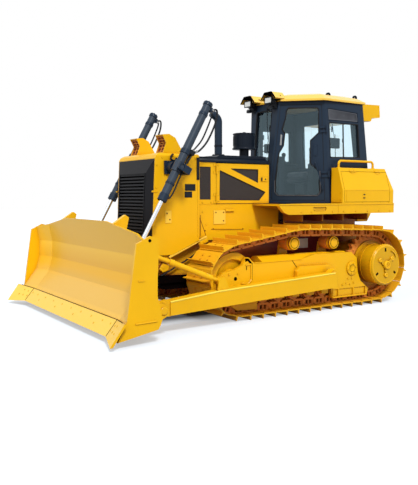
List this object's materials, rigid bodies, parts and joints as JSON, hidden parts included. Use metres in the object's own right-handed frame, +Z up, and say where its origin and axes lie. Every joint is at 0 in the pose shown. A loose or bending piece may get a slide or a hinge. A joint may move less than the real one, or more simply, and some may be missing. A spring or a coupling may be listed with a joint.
{
  "type": "crawler dozer with a semi-U blade",
  "caption": "Crawler dozer: a diesel tractor on two tracks with a glazed cab, and a front earth-moving blade on push arms raised by hydraulic cylinders.",
  "frame": {"origin": "centre of the machine's plan box, on the ground", "axes": "+X to the machine's left, -Y to its front and blade, +Z up"},
  "size_m": [3.65, 5.3229, 3.118],
  "materials": {
    "yellow_paint": "satin",
    "dark_paint": "satin",
    "black_paint": "satin",
    "black_mesh": "matt",
    "chrome": "polished",
    "glass": "clear",
    "seat_cloth": "woven",
    "black_plastic": "moulded",
    "grey_iron": "cast"
  },
  "bodies": {
    "machine": {"main_frame": "yellow_paint", "drawbar": "yellow_paint", "engine_block": "grey_iron", "radiator_guard": "yellow_paint", "grille": "black_paint", "hood_panels": "yellow_paint", "hood_cover": "black_paint", "vent_screens": "black_mesh", "lamp_pods": "yellow_paint", "lamp_grids": "black_mesh", "exhaust_pipe": "dark_paint", "precleaner": "black_plastic", "cab_frame": "dark_paint", "cab_glass": "glass", "cab_roof": "yellow_paint", "roof_box": "yellow_paint", "seat": "seat_cloth", "console": "black_plastic", "work_lights": "black_plastic", "decks": "yellow_paint", "side_boxes": "yellow_paint", "rear_tank": "yellow_paint", "handrails": "yellow_paint", "final_drives": "yellow_paint", "sprockets": "yellow_paint", "track_frames": "yellow_paint", "idlers": "yellow_paint", "rollers": "yellow_paint", "track_left": "yellow_paint", "track_right": "yellow_paint", "cylinder_yokes": "dark_paint"},
    "blade": {"blade": "yellow_paint", "cutting_edge": "yellow_paint", "push_arms": "yellow_paint", "braces": "yellow_paint"},
    "cab_door_left": {"cab_door_left": "dark_paint", "door_glass_left": "glass"},
    "engine_door_left": {"engine_door_left": "yellow_paint", "door_screens_left": "black_mesh"},
    "box_door_left": {"box_door_left": "yellow_paint"},
    "barrel_left": {"barrel_left": "dark_paint"},
    "rod_left": {"rod_left": "chrome"},
    "cab_door_right": {"cab_door_right": "dark_paint", "door_glass_right": "glass"},
    "engine_door_right": {"engine_door_right": "yellow_paint", "door_screens_right": "black_mesh"},
    "box_door_right": {"box_door_right": "yellow_paint"},
    "barrel_right": {"barrel_right": "dark_paint"},
    "rod_right": {"rod_right": "chrome"}
  },
  "joints": [
    {"name": "blade_lift", "type": "hinge", "parent": "machine", "child": "blade", "pos_m": [0, 0.923, 0.475], "axis": [-1, 0, 0], "range_deg": [-8, 15]},
    {"name": "lift_cylinder_swing_left", "type": "hinge", "parent": "machine", "child": "barrel_left", "pos_m": [0.74, -1.22, 1.96], "axis": [-1, 0, 0], "range_deg": [-8, 15]},
    {"name": "lift_rod_left", "type": "slide", "parent": "barrel_left", "child": "rod_left", "axis": [0, -0.4856, -0.8742], "range_m": [-0.69, 0.37]},
    {"name": "cab_door_left", "type": "hinge", "parent": "machine", "child": "cab_door_left", "pos_m": [0.869, 1.27338, 1.48473], "axis": [-0.0403, -0.0443, 0.9982], "range_deg": [0, 95]},
    {"name": "engine_door_left", "type": "hinge", "parent": "machine", "child": "engine_door_left", "pos_m": [0.5115, -0.478, 1.75], "axis": [0, 0, -1], "range_deg": [0, 100]},
    {"name": "box_door_left", "type": "hinge", "parent": "machine", "child": "box_door_left", "pos_m": [1.02474, 1.8, 1.95067], "axis": [0, -1, 0], "range_deg": [0, 80]},
    {"name": "lift_cylinder_swing_right", "type": "hinge", "parent": "machine", "child": "barrel_right", "pos_m": [-0.74, -1.22, 1.96], "axis": [-1, 0, 0], "range_deg": [-8, 15]},
    {"name": "lift_rod_right", "type": "slide", "parent": "barrel_right", "child": "rod_right", "axis": [0, -0.4856, -0.8742], "range_m": [-0.69, 0.37]},
    {"name": "cab_door_right", "type": "hinge", "parent": "machine", "child": "cab_door_right", "pos_m": [-0.869, 1.27338, 1.48473], "axis": [-0.0403, 0.0443, -0.9982], "range_deg": [0, 95]},
    {"name": "engine_door_right", "type": "hinge", "parent": "machine", "child": "engine_door_right", "pos_m": [-0.5115, -0.478, 1.75], "axis": [0, 0, 1], "range_deg": [0, 100]},
    {"name": "box_door_right", "type": "hinge", "parent": "machine", "child": "box_door_right", "pos_m": [-1.02474, 1.8, 1.95067], "axis": [0, 1, 0], "range_deg": [0, 80]}
  ],
  "couplings": [
    {"joint": "lift_cylinder_swing_left", "follows": "blade_lift", "ratio": 0.95},
    {"joint": "lift_rod_left", "follows": "blade_lift", "m_per_rad": -2.59},
    {"joint": "lift_cylinder_swing_right", "follows": "blade_lift", "ratio": 0.95},
    {"joint": "lift_rod_right", "follows": "blade_lift", "m_per_rad": -2.59}
  ]
}
